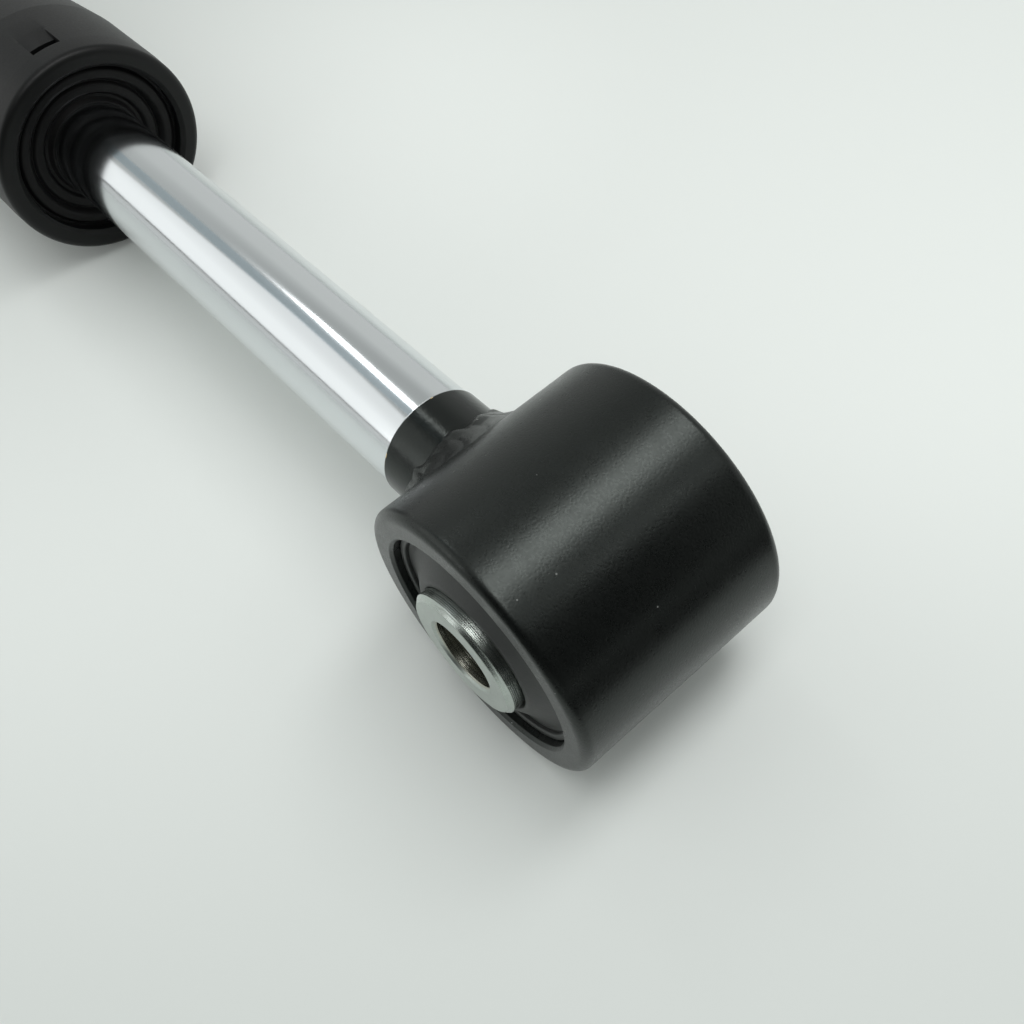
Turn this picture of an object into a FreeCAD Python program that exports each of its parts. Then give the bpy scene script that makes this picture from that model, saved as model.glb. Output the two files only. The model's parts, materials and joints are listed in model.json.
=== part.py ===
"""Gas spring with a rubber-bushed eye at each end, at rest with its rod out.

The frame is in millimetres: the origin is the centre of the base eye's bore, +X runs along
the tube and the rod to the rod's eye, +Y along both bores, and +Z is up.
"""
import FreeCAD, Part
import math
import os
import types

import Sketcher

# Driving sizes, in millimetres.
SIZES = {
    # Stroke and rod
    "stroke": 100.0,
    "rod_diameter": 20.0,
    "rod_reserve": 14.2,
    "rod_bevel": 0.5,
    # Clearances
    "seat_gap": 0.05,
    "running_gap": 0.04,
    "stop_gap": 0.3,
    # Eye rings
    "eye_diameter": 48.3,
    "eye_wall": 5.0,
    "eye_length": 40.0,
    "eye_edge_round": 1.6,
    "eye_mouth_bevel": 0.5,
    # Rubber bushes
    "bush_recess": 1.6,
    "shell_wall": 1.2,
    "sleeve_diameter": 22.0,
    "sleeve_length": 45.0,
    "sleeve_bevel": 1.0,
    "bolt_bore": 12.2,
    "bore_bevel": 0.6,
    "rubber_rise": 0.1,
    "rubber_collar_width": 1.2,
    "rubber_dish": 0.8,
    "rubber_moat_width": 0.6,
    "rubber_face_radius": 14.0,
    # Rod collar and eye welds
    "collar_step": 0.3,
    "collar_length": 10.15,
    "collar_bevel": 0.4,
    "stud_diameter": 14.0,
    "stud_end_gap": 1.0,
    "weld_leg": 4.2,
    "weld_round": 3.4,
    # Base plug and its seam
    "neck_diameter": 26.0,
    "neck_length": 10.0,
    "base_flange": 5.0,
    "base_flange_bevel": 1.5,
    "base_spigot": 12.0,
    "base_spigot_bevel": 1.0,
    "seam_depth": 2.0,
    "seam_crown_radius": 3.0,
    "cushion_gap": 4.35,
    # Pressure tube
    "tube_diameter": 40.0,
    "tube_wall": 2.5,
    "lip_overlap": 2.0,
    "lip_round": 2.4,
    "bead_width": 3.6,
    "bead_flank": 1.2,
    "bead_depth": 1.4,
    # Rod guide and seals
    "guide_length": 22.0,
    "guide_relief": 0.8,
    "guide_shoulder": 3.0,
    "guide_bush_wall": 1.5,
    "guide_bush_recess": 1.0,
    "o_ring_section": 2.4,
    "o_ring_room": 0.6,
    "rod_seal_length": 7.5,
    "rod_seal_groove_depth": 4.5,
    "rod_seal_groove_width": 3.6,
    "rod_seal_groove_taper": 0.7,
    "rod_seal_lip_length": 2.5,
    "rod_seal_relief": 0.5,
    "seal_washer_thickness": 2.0,
    # End cap and wiper
    "cap_overhang": 5.1,
    "cap_wall": 2.85,
    "cap_front_draft": 0.2,
    "cap_front_taper": 12.0,
    "cap_skirt_length": 23.5,
    "cap_tail_length": 24.0,
    "cap_tail_wall": 0.8,
    "cap_edge_round": 1.6,
    "cap_mouth_lip": 1.0,
    "cap_mouth_bevel": 0.9,
    "tab_count": 3,
    "tab_setback": 5.8,
    "tab_width": 6.0,
    "tab_length": 8.5,
    "tab_slot": 3.0,
    "tab_depth": 2.0,
    "tab_drop": 0.8,
    "wiper_flange_inset": 0.6,
    "wiper_flange_thickness": 2.0,
    "wiper_mouth_gap": 0.3,
    "wiper_rib_height": 0.92,
    "wiper_rib_gap": 0.4,
    "wiper_rib_land": 0.66,
    "wiper_rib_step": 0.8,
    "wiper_relief": 0.8,
    "wiper_lip_width": 0.9,
    "wiper_lip_reach": 2.4,
    # Piston on the rod's inner end
    "piston_stud_diameter": 12.0,
    "stud_tail": 2.0,
    "nut_width": 18.0,
    "nut_height": 10.0,
    "rear_washer_diameter": 22.0,
    "front_washer_diameter": 28.0,
    "washer_thickness": 2.0,
    "piston_length": 14.0,
    "piston_gap": 0.4,
    "piston_bevel": 0.8,
    "ring_width": 4.0,
    "ring_depth": 2.4,
    "throttle_hole": 2.4,
    "throttle_inset": 2.1,
    "throttle_count": 6,
    "throttle_disc_thickness": 0.6,
    "throttle_disc_gap": 2.0,
    "buffer_length": 6.0,
    "buffer_wall": 3.9,
    "buffer_bevel": 1.0,
}

HEX_CORNER = 1.0 / math.sqrt(3.0)
LEFT = 1
RIGHT = -1
START, FINISH, CENTRE = range(1, 4)
X_AXIS, Y_AXIS = range(-1, -3, -1)
EDGE_SAMPLES = 7
CLEAR_OF_PIECE = 2


class Size:
    """A length: the sheet's formula for it, with its present value."""

    def __init__(self, formula, value):
        self.formula = formula
        self.value = value

    def joined(self, sign, other, value):
        return Size(f"({self.formula} {sign} {as_size(other).formula})", value)

    def __add__(self, other):
        return self.joined("+", other, self.value + as_size(other).value)

    def __sub__(self, other):
        return self.joined("-", other, self.value - as_size(other).value)

    def __mul__(self, factor):
        return self.joined("*", factor, self.value * as_size(factor).value)

    def __truediv__(self, divisor):
        return self.joined("/", divisor, self.value / as_size(divisor).value)

    def __neg__(self):
        return Size(f"(0 - {self.formula})", -self.value)


def as_size(number):
    """A plain number as a Size; a Size comes back as it is."""
    return number if isinstance(number, Size) else Size(repr(number), number)


doc = FreeCAD.newDocument("GasSpring")
sheet = doc.addObject("Spreadsheet::Sheet", "Sizes")
for row, (alias, number) in enumerate(SIZES.items(), start=1):
    sheet.set(f"A{row}", alias)
    sheet.set(f"B{row}", str(number))
    sheet.setAlias(f"B{row}", alias)
doc.recompute()
s = types.SimpleNamespace(**{alias: Size(f"Sizes.{alias}", number) for alias, number in SIZES.items()})

# Places along the axis, from the base eye's centre to the rod eye's centre.
eye_radius = s.eye_diameter / 2
base_end = eye_radius + s.neck_length
tube_start = base_end + s.base_flange
plug_face = tube_start + s.base_spigot
rod_tip = plug_face + s.cushion_gap + s.stroke
nut_start = rod_tip + s.stud_tail
nut_end = nut_start + s.nut_height
piston_start = nut_end + s.washer_thickness
piston_end = piston_start + s.piston_length
throttle_end = piston_end + s.throttle_disc_thickness
rod_shoulder = throttle_end + s.washer_thickness
buffer_end = rod_shoulder + s.buffer_length
seal_washer_start = buffer_end + s.stop_gap
seal_start = seal_washer_start + s.seal_washer_thickness
guide_start = seal_start + s.rod_seal_length
guide_end = guide_start + s.guide_length
tube_end = guide_end + s.tube_wall
cap_front = tube_end + s.cap_overhang
collar_start = cap_front + s.stroke + s.rod_reserve
eye_crown = collar_start + s.collar_length
rod_eye_centre = eye_crown + eye_radius

# Radii that more than one piece takes.
rod_radius = s.rod_diameter / 2
tube_radius = s.tube_diameter / 2
tube_bore_radius = tube_radius - s.tube_wall
inside_radius = tube_bore_radius - s.seat_gap
lip_radius = tube_bore_radius - s.lip_overlap
eye_bore_radius = eye_radius - s.eye_wall
shell_outer_radius = eye_bore_radius - s.seat_gap
shell_inner_radius = shell_outer_radius - s.shell_wall
sleeve_radius = s.sleeve_diameter / 2
piston_stud_radius = s.piston_stud_diameter / 2
stud_hole_radius = piston_stud_radius + s.seat_gap
guide_bush_radius = rod_radius + s.running_gap + s.guide_bush_wall
guide_bush_start = guide_start + s.guide_shoulder
collar_radius = rod_radius + s.collar_step
wiper_flange_radius = tube_radius - s.wiper_flange_inset
cap_mouth_radius = wiper_flange_radius - s.cap_mouth_lip
shell_end = s.eye_length / 2 - s.bush_recess

sub_parts = []


def new_body(label):
    """A named sub-part with its own origin."""
    body = doc.addObject("PartDesign::Body", label)
    body.Label = label
    sub_parts.append(body)
    return body


def origin_feature(body, role):
    return next(feature for feature in body.Origin.OriginFeatures if feature.Role == role)


def new_sketch(body, plane, purpose):
    sketch = body.newObject("Sketcher::SketchObject", f"{body.Name}_{purpose}")
    sketch.AttachmentSupport = (origin_feature(body, plane), "")
    sketch.MapMode = "FlatFace"
    return sketch


def bind(sketch, constraint, size):
    """Add a constraint and tie its value to the sheet."""
    index = sketch.addConstraint(constraint)
    name = f"size_{index}"
    sketch.renameConstraint(index, name)
    sketch.setExpression(f"Constraints.{name}", size.formula)


def hold_point(sketch, edge, end, place):
    """Hold one end of an edge at a place; a plain zero puts it on the sketch's own axis."""
    for kind, axis, number in (("DistanceX", Y_AXIS, place[0]), ("DistanceY", X_AXIS, place[1])):
        if isinstance(number, Size):
            bind(sketch, Sketcher.Constraint(kind, X_AXIS, START, edge, end, number.value), number)
        else:
            sketch.addConstraint(Sketcher.Constraint("PointOnObject", edge, end, axis))


def at(place):
    return FreeCAD.Vector(as_size(place[0]).value, as_size(place[1]).value, 0)


def arc_between(start, end, radius, side):
    """The shorter arc from start to end that bulges to the given side of the way there."""
    way = end - start
    half = way.Length / 2
    left = FreeCAD.Vector(-way.y, way.x, 0).normalize()
    centre = (start + end) / 2 - left * side * math.sqrt(radius ** 2 - half ** 2)
    first, last = (end, start) if side == LEFT else (start, end)
    angles = [math.atan2(point.y - centre.y, point.x - centre.x) for point in (first, last)]
    return Part.ArcOfCircle(Part.Circle(centre, FreeCAD.Vector(0, 0, 1), radius), *angles)


def draw_outline(sketch, corners):
    """Close an outline through its corners.

    A corner is (x, y), with a straight edge to the next one, or (x, y, radius, side), with an
    arc of that radius that bulges to the LEFT or RIGHT of the way to the next one.
    """
    ends = []
    for number, corner in enumerate(corners):
        start = at(corner)
        end = at(corners[(number + 1) % len(corners)])
        if len(corner) == 2:
            sketch.addGeometry(Part.LineSegment(start, end))
            ends.append((START, FINISH))
        else:
            radius, side = corner[2:]
            edge = sketch.addGeometry(arc_between(start, end, radius.value, side))
            bind(sketch, Sketcher.Constraint("Radius", edge, radius.value), radius)
            ends.append((FINISH, START) if side == LEFT else (START, FINISH))
    for edge, (start_end, finish_end) in enumerate(ends):
        following = (edge + 1) % len(ends)
        sketch.addConstraint(Sketcher.Constraint("Coincident", edge, finish_end, following, ends[following][0]))
        hold_point(sketch, edge, start_end, corners[edge])


def draw_circle(sketch, centre, radius):
    circle = Part.Circle(at(centre), FreeCAD.Vector(0, 0, 1), radius.value)
    edge = sketch.addGeometry(circle)
    bind(sketch, Sketcher.Constraint("Radius", edge, radius.value), radius)
    hold_point(sketch, edge, CENTRE, centre)


def turn(body, sketch, axis):
    revolution = body.newObject("PartDesign::Revolution", f"{body.Name}_turning")
    revolution.Profile = sketch
    revolution.ReferenceAxis = (sketch, [axis])
    revolution.Angle = 360


def turned(label, corners):
    """A sub-part turned about the rod's axis from corners of (place along X, radius)."""
    body = new_body(label)
    sketch = new_sketch(body, "XY_Plane", "outline")
    draw_outline(sketch, corners)
    turn(body, sketch, "H_Axis")
    return body


def bored(label, eye_centre, corners):
    """A sub-part of an eye, turned about its bore from corners of (radius, place along Y)."""
    body = new_body(label)
    sketch = new_sketch(body, "XY_Plane", "outline")
    draw_outline(sketch, corners)
    turn(body, sketch, "V_Axis")
    if isinstance(eye_centre, Size):
        body.setExpression("Placement.Base.x", eye_centre.formula)
    return body


def ring(label, start, end, inner, outer):
    """A plain turned ring."""
    return turned(label, ((start, inner), (start, outer), (end, outer), (end, inner)))


def cut_through(body, sketch, width=None):
    """Cut a sketch's outline both ways, right through or to a total width, and check the cut."""
    doc.recompute()
    volume_before = body.Shape.Volume
    pocket = body.newObject("PartDesign::Pocket", f"{sketch.Name}_cut")
    pocket.Profile = sketch
    pocket.SideType = "Symmetric"
    if width is None:
        pocket.Type = "ThroughAll"
    else:
        pocket.setExpression("Length", width.formula)
    doc.recompute()
    if not body.Shape.Volume < volume_before:
        raise RuntimeError(f"{sketch.Name} cuts nothing")
    return pocket


def repeat_about_axis(body, feature, count):
    pattern = body.newObject("PartDesign::PolarPattern", f"{feature.Name}_pattern")
    pattern.Originals = [feature]
    pattern.Axis = (origin_feature(body, "X_Axis"), [""])
    pattern.Angle = 360
    pattern.setExpression("Occurrences", count.formula)
    body.Tip = pattern


def saddle(body, eye_centre):
    """Cut a piece back to the round outside of the eye that it is welded to."""
    sketch = new_sketch(body, "XZ_Plane", "saddle")
    draw_circle(sketch, (eye_centre, 0), eye_radius + s.seat_gap)
    cut_through(body, sketch)


def make_eye(prefix, eye_centre):
    """Eye ring and rubber bush about a bore along Y at the eye's centre."""
    half = s.eye_length / 2
    bored(f"{prefix}_eye_ring", eye_centre, (
        (eye_bore_radius, s.eye_mouth_bevel - half),
        (eye_bore_radius + s.eye_mouth_bevel, -half),
        (eye_radius - s.eye_edge_round, -half, s.eye_edge_round, RIGHT),
        (eye_radius, s.eye_edge_round - half),
        (eye_radius, half - s.eye_edge_round, s.eye_edge_round, RIGHT),
        (eye_radius - s.eye_edge_round, half),
        (eye_bore_radius + s.eye_mouth_bevel, half),
        (eye_bore_radius, half - s.eye_mouth_bevel),
    ))
    bored(f"{prefix}_bush_shell", eye_centre, (
        (shell_inner_radius, -shell_end),
        (shell_outer_radius, -shell_end),
        (shell_outer_radius, shell_end),
        (shell_inner_radius, shell_end),
    ))
    make_bush_rubber(f"{prefix}_bush_rubber", eye_centre)
    sleeve_end = s.sleeve_length / 2
    bore_radius = s.bolt_bore / 2
    bored(f"{prefix}_bush_sleeve", eye_centre, (
        (bore_radius + s.bore_bevel, -sleeve_end),
        (sleeve_radius - s.sleeve_bevel, -sleeve_end),
        (sleeve_radius, s.sleeve_bevel - sleeve_end),
        (sleeve_radius, sleeve_end - s.sleeve_bevel),
        (sleeve_radius - s.sleeve_bevel, sleeve_end),
        (bore_radius + s.bore_bevel, sleeve_end),
        (bore_radius, sleeve_end - s.bore_bevel),
        (bore_radius, s.bore_bevel - sleeve_end),
    ))


def make_bush_rubber(label, eye_centre):
    """Rubber with hollow end faces that rise to a low collar round the sleeve."""
    inner = sleeve_radius + s.running_gap
    outer = shell_inner_radius - s.seat_gap
    collar_edge = inner + s.rubber_collar_width
    moat_edge = outer - s.rubber_moat_width
    top = s.eye_length / 2 + s.rubber_rise
    moat = shell_end - s.rubber_dish
    bored(label, eye_centre, (
        (inner, -top),
        (collar_edge, -top, s.rubber_face_radius, LEFT),
        (moat_edge, -moat),
        (outer, -moat),
        (outer, moat),
        (moat_edge, moat, s.rubber_face_radius, LEFT),
        (collar_edge, top),
        (inner, top),
    ))


def make_eye_weld(label, neck_radius):
    """Saddle-shaped bead round a neck that leaves an eye at the origin along +X."""
    toe_radius = neck_radius + s.weld_leg
    crest_radius = eye_radius + s.weld_leg
    body = new_body(label)
    blank = new_sketch(body, "XY_Plane", "blank")
    draw_outline(blank, (
        (0, neck_radius + s.seat_gap),
        (0, toe_radius),
        (crest_radius, toe_radius),
        (crest_radius, neck_radius + s.seat_gap),
    ))
    turn(body, blank, "H_Axis")
    saddle(body, 0)
    crest = new_sketch(body, "XZ_Plane", "crest")
    draw_circle(crest, (0, 0), crest_radius)
    draw_circle(crest, (0, 0), crest_radius * CLEAR_OF_PIECE)
    crest_cut = cut_through(body, crest)
    edges = [
        f"Edge{number}" for number, edge in enumerate(body.Shape.Edges, start=1)
        if on_both(edge, toe_radius.value, crest_radius.value)
    ]
    rounding = body.newObject("PartDesign::Fillet", f"{label}_rounding")
    rounding.Base = (crest_cut, edges)
    rounding.setExpression("Radius", s.weld_round.formula)
    return body


def on_both(edge, toe_radius, crest_radius):
    """True for an edge where the bead's outside meets its crest."""
    near = 1e-3
    return all(
        abs(math.hypot(point.y, point.z) - toe_radius) < near
        and abs(math.hypot(point.x, point.z) - crest_radius) < near
        for point in edge.discretize(EDGE_SAMPLES)
    )


def make_base():
    """Plug that closes the tube, with the neck that carries the base eye, and its seam."""
    spigot_radius = inside_radius
    seam_root = tube_radius - s.seam_depth
    plug = turned("base_plug", (
        (eye_radius / 2, 0),
        (eye_radius / 2, s.neck_diameter / 2),
        (base_end, s.neck_diameter / 2),
        (base_end, tube_radius - s.base_flange_bevel),
        (base_end + s.base_flange_bevel, tube_radius),
        (tube_start - s.seam_depth, tube_radius),
        (tube_start, seam_root),
        (tube_start, spigot_radius),
        (plug_face - s.base_spigot_bevel, spigot_radius),
        (plug_face, spigot_radius - s.base_spigot_bevel),
        (plug_face, 0),
    ))
    saddle(plug, 0)
    seam_half = s.seam_depth - s.seat_gap
    turned("base_weld", (
        (tube_start, seam_root + s.seat_gap),
        (tube_start + seam_half, tube_radius, s.seam_crown_radius, RIGHT),
        (tube_start - seam_half, tube_radius),
    ))


def make_tube():
    """Pressure tube with its end rolled in over the guide and a bead behind the seal pack."""
    bead_start = seal_washer_start - s.bead_width
    bead_floor_start = bead_start + s.bead_flank
    bead_floor_end = seal_washer_start - s.bead_flank
    turned("pressure_tube", (
        (tube_start, tube_bore_radius),
        (tube_start, tube_radius - s.seam_depth),
        (tube_start + s.seam_depth, tube_radius),
        (bead_start, tube_radius),
        (bead_floor_start, tube_radius - s.bead_depth),
        (bead_floor_end, tube_radius - s.bead_depth),
        (seal_washer_start, tube_radius),
        (tube_end - s.lip_round, tube_radius, s.lip_round, LEFT),
        (tube_end, tube_radius - s.lip_round),
        (tube_end, lip_radius),
        (guide_end, lip_radius),
        (guide_end, tube_bore_radius),
        (seal_washer_start, tube_bore_radius),
        (bead_floor_end, tube_bore_radius - s.bead_depth),
        (bead_floor_start, tube_bore_radius - s.bead_depth),
        (bead_start, tube_bore_radius),
    ))


def make_seal_pack():
    """Rod guide with its bush and O-ring, and the rod seal on its washer."""
    relief_radius = rod_radius + s.guide_relief
    bush_seat_radius = guide_bush_radius + s.seat_gap
    groove_width = s.o_ring_section + s.o_ring_room
    groove_start = guide_start + s.guide_length / 2 - groove_width / 2
    groove_floor = inside_radius - s.o_ring_section
    turned("rod_guide", (
        (guide_start, relief_radius),
        (guide_start, inside_radius),
        (groove_start, inside_radius),
        (groove_start, groove_floor),
        (groove_start + groove_width, groove_floor),
        (groove_start + groove_width, inside_radius),
        (guide_end - s.seat_gap, inside_radius),
        (guide_end - s.seat_gap, lip_radius - s.seat_gap),
        (tube_end, lip_radius - s.seat_gap),
        (tube_end, bush_seat_radius),
        (guide_bush_start, bush_seat_radius),
        (guide_bush_start, relief_radius),
    ))
    ring("guide_bush", guide_bush_start, tube_end - s.guide_bush_recess,
         rod_radius + s.running_gap, guide_bush_radius)
    o_ring = new_body("guide_o_ring")
    section = new_sketch(o_ring, "XY_Plane", "section")
    section_radius = s.o_ring_section / 2
    draw_circle(section, (groove_start + groove_width / 2, groove_floor + section_radius), section_radius)
    turn(o_ring, section, "H_Axis")
    make_rod_seal()
    ring("seal_washer", seal_washer_start, seal_start, relief_radius, inside_radius)


def make_rod_seal():
    """Lip seal with a tapered groove that opens to the gas side."""
    lip = rod_radius + s.running_gap
    middle = (rod_radius + tube_bore_radius) / 2
    mouth_half = s.rod_seal_groove_width / 2
    floor_half = mouth_half - s.rod_seal_groove_taper
    groove_end = seal_start + s.rod_seal_groove_depth
    turned("rod_seal", (
        (seal_start, lip),
        (seal_start, middle - mouth_half),
        (groove_end, middle - floor_half),
        (groove_end, middle + floor_half),
        (seal_start, middle + mouth_half),
        (seal_start, inside_radius),
        (guide_start, inside_radius),
        (guide_start, lip + s.rod_seal_relief),
        (seal_start + s.rod_seal_lip_length, lip),
    ))


def make_end_cap():
    """Cap over the tube's end, tapered at its tail, with lanced tabs that hold it on."""
    seat_radius = tube_radius + s.seat_gap
    cap_radius = seat_radius + s.cap_wall
    front_radius = cap_radius - s.cap_front_draft
    shoulder = tube_end + s.wiper_flange_thickness + s.seat_gap * 2
    flange_seat_radius = wiper_flange_radius + s.seat_gap
    skirt_end = cap_front - s.cap_skirt_length
    tail_end = skirt_end - s.cap_tail_length
    cap = turned("end_cap", (
        (tail_end, seat_radius),
        (tail_end, seat_radius + s.cap_tail_wall),
        (skirt_end, cap_radius),
        (cap_front - s.cap_front_taper, cap_radius),
        (cap_front - s.cap_edge_round, front_radius, s.cap_edge_round, LEFT),
        (cap_front, front_radius - s.cap_edge_round),
        (cap_front, cap_mouth_radius + s.cap_mouth_bevel),
        (cap_front - s.cap_mouth_bevel, cap_mouth_radius),
        (shoulder, cap_mouth_radius),
        (shoulder, flange_seat_radius),
        (tube_end + s.seat_gap, flange_seat_radius),
        (tube_end + s.seat_gap, seat_radius),
    ))
    tab = new_sketch(cap, "XZ_Plane", "tab")
    tab_front = cap_front - s.tab_setback
    draw_outline(tab, (
        (tab_front, cap_radius + s.tab_depth),
        (tab_front, cap_radius - s.tab_depth),
        (tab_front - s.tab_slot, cap_radius - s.tab_depth),
        (tab_front - s.tab_slot, cap_radius - s.tab_drop),
        (tab_front - s.tab_length, cap_radius),
        (tab_front - s.tab_length, cap_radius + s.tab_depth),
    ))
    tab_cut = cut_through(cap, tab, s.tab_width)
    repeat_about_axis(cap, tab_cut, s.tab_count)


def make_wiper():
    """Rubber wiper held by its flange, with round ribs on its face and a lip on the rod."""
    back = tube_end + s.seat_gap
    face = back + s.wiper_flange_thickness
    rim_radius = cap_mouth_radius - s.wiper_mouth_gap
    lip = rod_radius + s.running_gap
    lip_top = lip + s.wiper_lip_width
    lip_tip = back + s.wiper_lip_reach
    rib_top = rim_radius - s.wiper_mouth_gap
    rib_width = (rib_top - lip_top - s.wiper_rib_land - s.wiper_rib_gap) / 2
    rib_radius = rib_width * rib_width / (s.wiper_rib_height * 8) + s.wiper_rib_height / 2
    second_top = rib_top - rib_width - s.wiper_rib_gap
    second_face = face - s.wiper_rib_step
    turned("wiper_seal", (
        (back, lip + s.wiper_relief),
        (back, wiper_flange_radius),
        (face, wiper_flange_radius),
        (face, rim_radius),
        (face, rib_top, rib_radius, LEFT),
        (face, rib_top - rib_width),
        (second_face, second_top, rib_radius, LEFT),
        (second_face, second_top - rib_width),
        (lip_tip, lip_top),
        (lip_tip, lip),
    ))


def make_rod():
    """Piston rod with a stud at each end, and the collar that is welded to its eye."""
    stud_radius = s.stud_diameter / 2
    turned("piston_rod", (
        (rod_tip, 0),
        (rod_tip, piston_stud_radius - s.rod_bevel),
        (rod_tip + s.rod_bevel, piston_stud_radius),
        (rod_shoulder, piston_stud_radius),
        (rod_shoulder, rod_radius),
        (collar_start, rod_radius),
        (collar_start, stud_radius),
        (eye_crown - s.stud_end_gap, stud_radius),
        (eye_crown - s.stud_end_gap, 0),
    ))
    collar = turned("rod_collar", (
        (collar_start, stud_radius + s.seat_gap),
        (collar_start, collar_radius - s.collar_bevel),
        (collar_start + s.collar_bevel, collar_radius),
        (rod_eye_centre, collar_radius),
        (rod_eye_centre, stud_radius + s.seat_gap),
    ))
    saddle(collar, rod_eye_centre)
    weld = make_eye_weld("rod_eye_weld", collar_radius)
    weld.Placement.Rotation = FreeCAD.Rotation(FreeCAD.Vector(0, 0, 1), 180)
    weld.setExpression("Placement.Base.x", rod_eye_centre.formula)


def make_piston():
    """Piston with its ring, throttle disc, washers and nut on the rod's inner stud."""
    piston_radius = tube_bore_radius - s.piston_gap
    groove_floor = tube_bore_radius - s.ring_depth
    groove_width = s.ring_width + s.running_gap * 2
    groove_start = piston_start + s.piston_length / 2 - groove_width / 2
    piston = turned("piston", (
        (piston_start, stud_hole_radius),
        (piston_start, piston_radius - s.piston_bevel),
        (piston_start + s.piston_bevel, piston_radius),
        (groove_start, piston_radius),
        (groove_start, groove_floor),
        (groove_start + groove_width, groove_floor),
        (groove_start + groove_width, piston_radius),
        (piston_end - s.piston_bevel, piston_radius),
        (piston_end, piston_radius - s.piston_bevel),
        (piston_end, stud_hole_radius),
    ))
    hole = new_sketch(piston, "YZ_Plane", "throttle")
    draw_circle(hole, (0, groove_floor - s.throttle_inset), s.throttle_hole / 2)
    repeat_about_axis(piston, cut_through(piston, hole), s.throttle_count)
    ring("piston_ring", groove_start + s.running_gap, groove_start + groove_width - s.running_gap,
         groove_floor + s.running_gap, tube_bore_radius - s.running_gap)
    ring("piston_rear_washer", nut_end, piston_start, stud_hole_radius, s.rear_washer_diameter / 2)
    ring("throttle_disc", piston_end, throttle_end, stud_hole_radius, tube_bore_radius - s.throttle_disc_gap)
    ring("piston_front_washer", throttle_end, rod_shoulder, stud_hole_radius, s.front_washer_diameter / 2)
    buffer_bore_radius = rod_radius + s.seat_gap
    buffer_radius = buffer_bore_radius + s.buffer_wall
    turned("stop_buffer", (
        (rod_shoulder, buffer_bore_radius),
        (rod_shoulder, buffer_radius),
        (buffer_end - s.buffer_bevel, buffer_radius),
        (buffer_end, buffer_radius - s.buffer_bevel),
        (buffer_end, buffer_bore_radius),
    ))
    make_nut()


def make_nut():
    """Hexagon nut on the rod's inner stud."""
    nut = new_body("piston_nut")
    sketch = new_sketch(nut, "YZ_Plane", "hexagon")
    sketch.setExpression("AttachmentOffset.Base.z", nut_start.formula)
    half_width = s.nut_width / 2
    corner = s.nut_width * HEX_CORNER
    draw_outline(sketch, (
        (corner, 0),
        (corner / 2, half_width),
        (-corner / 2, half_width),
        (-corner, 0),
        (-corner / 2, -half_width),
        (corner / 2, -half_width),
    ))
    draw_circle(sketch, (0, 0), stud_hole_radius)
    pad = nut.newObject("PartDesign::Pad", "piston_nut_pad")
    pad.Profile = sketch
    pad.setExpression("Length", s.nut_height.formula)


def check_and_write():
    """Stop on any failed object or unsound solid, then write one file for each sub-part."""
    doc.recompute()
    failed = [item.Label for item in doc.Objects if {"Invalid", "Error"} & set(item.State)]
    if failed:
        raise RuntimeError(f"failed objects: {failed}")
    for body in sub_parts:
        if body.Shape.isNull() or not body.Shape.isValid() or len(body.Shape.Solids) != 1:
            raise RuntimeError(f"{body.Label} is not one sound solid")
    os.makedirs("parts", exist_ok=True)
    for body in sub_parts:
        body.Shape.exportStep(os.path.join("parts", f"{body.Label}.step"))


make_eye("base", 0)
make_eye("rod", rod_eye_centre)
make_base()
make_eye_weld("base_eye_weld", s.neck_diameter / 2)
make_tube()
make_seal_pack()
make_end_cap()
make_wiper()
make_rod()
make_piston()
check_and_write()
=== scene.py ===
"""Gas spring: the finish and the fine forms of its pieces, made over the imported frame."""
import json
import math

import bmesh
import bpy
import numpy as np
from bpy.props import FloatProperty, FloatVectorProperty, IntProperty, PointerProperty
from mathutils import Matrix, Vector

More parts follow.
